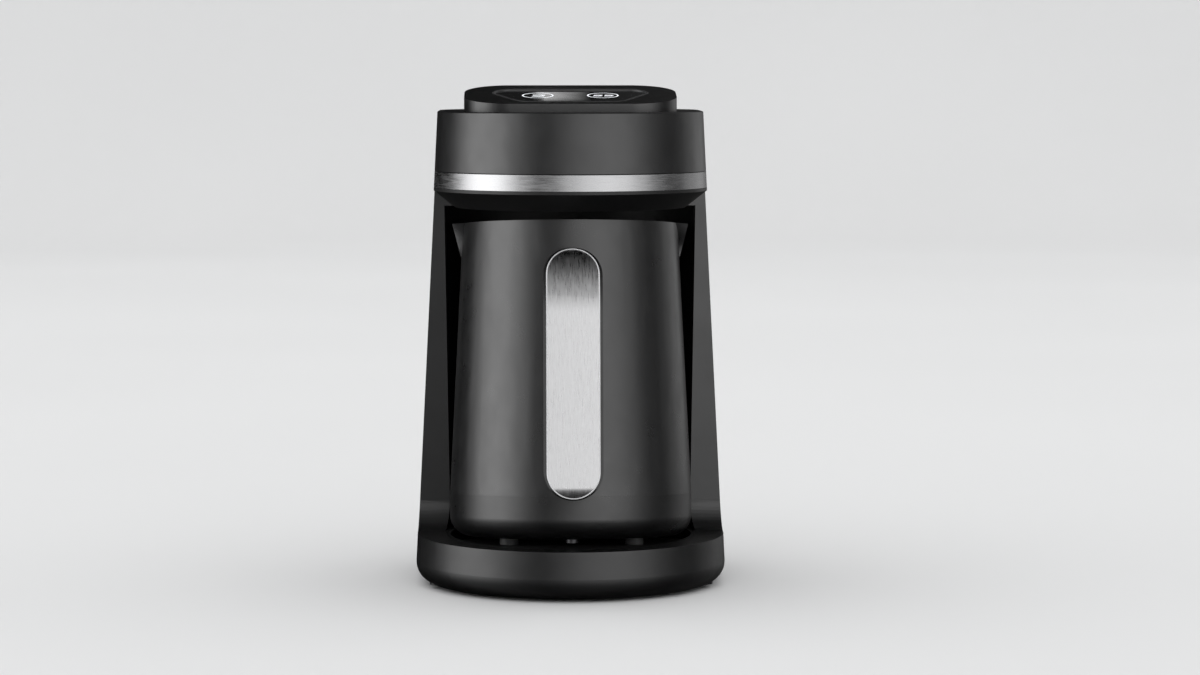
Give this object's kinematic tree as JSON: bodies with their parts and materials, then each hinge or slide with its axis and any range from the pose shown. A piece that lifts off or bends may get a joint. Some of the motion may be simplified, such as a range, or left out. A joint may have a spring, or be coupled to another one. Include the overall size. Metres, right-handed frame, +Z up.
{
  "type": "electric turkish coffee maker",
  "caption": "Upright electric coffee pot maker: lit touch head over a bay, sloping seat, and a side-spouted heating pot with a looped steel-faced handle that slides out to the front.",
  "frame": {"origin": "on the table, on the axis of the round front of the base, which is also the middle of the whole object's footprint", "axes": "+Z up, -Y towards the front and the pot's handle, +X to the right as seen from the front"},
  "size_m": [0.151, 0.2041, 0.2424],
  "materials": {
    "case_black": "satin black moulded plastic, fine sheen",
    "bay_black": "matt black moulded plastic",
    "pot_black": "satin black soft-touch plastic",
    "gloss_black": "polished piano black panel",
    "brushed_steel": "brushed stainless steel",
    "vessel_steel": "satin stainless steel",
    "ring_white": "white lit marks",
    "rubber": "black rubber",
    "seal_silicone": "dark grey silicone",
    "screw_steel": "blackened steel",
    "contact_brass": "brass",
    "board_green": "green circuit board",
    "component_black": "black component cases",
    "component_grey": "grey component cases",
    "lens_smoke": "smoked lens",
    "cable_grey": "grey ribbon and leads",
    "heater_aluminium": "plain aluminium",
    "element_steel": "sheathed element"
  },
  "bodies": {
    "machine": {"base_pan": "case_black", "pan_screws": "screw_steel", "rubber_feet": "rubber", "housing": "case_black", "bay_liner": "bay_black", "seat_plate": "bay_black", "power_plug": "bay_black", "plug_pins": "contact_brass", "head_shell": "case_black", "trim_band": "brushed_steel", "head_underside": "bay_black", "control_pod": "case_black", "touch_panel": "gloss_black", "key_rings": "ring_white", "control_board": "board_green", "board_screws": "screw_steel", "touch_pads": "rubber", "key_lights": "ring_white", "buzzer": "component_black", "sensor_window": "lens_smoke", "boil_sensor": "component_black", "rear_cover": "case_black", "cover_screws": "screw_steel", "cord_inlet": "rubber", "board_rails": "component_grey", "power_board": "board_green", "transformer": "component_grey", "relay": "component_black", "terminal_block": "component_grey", "filter_capacitor": "component_black", "ribbon_cable": "cable_grey", "plug_leads": "cable_grey"},
    "pot": {"pot_shell": "pot_black", "pot_vessel": "vessel_steel", "rim_seal": "seal_silicone", "pot_base": "pot_black", "heat_plate": "heater_aluminium", "heating_element": "element_steel", "temperature_sensor": "component_black", "thermal_fuse": "component_grey", "pot_socket": "bay_black", "socket_contacts": "contact_brass", "pot_feet": "rubber", "pot_base_screws": "screw_steel", "handle_screws": "screw_steel", "handle": "pot_black", "handle_inlay": "brushed_steel"}
  },
  "joints": [
    {"name": "pot_slide", "type": "slide", "parent": "machine", "child": "pot", "axis": [0, -0.9962, 0.0872], "range_m": [0, 0.2]}
  ]
}
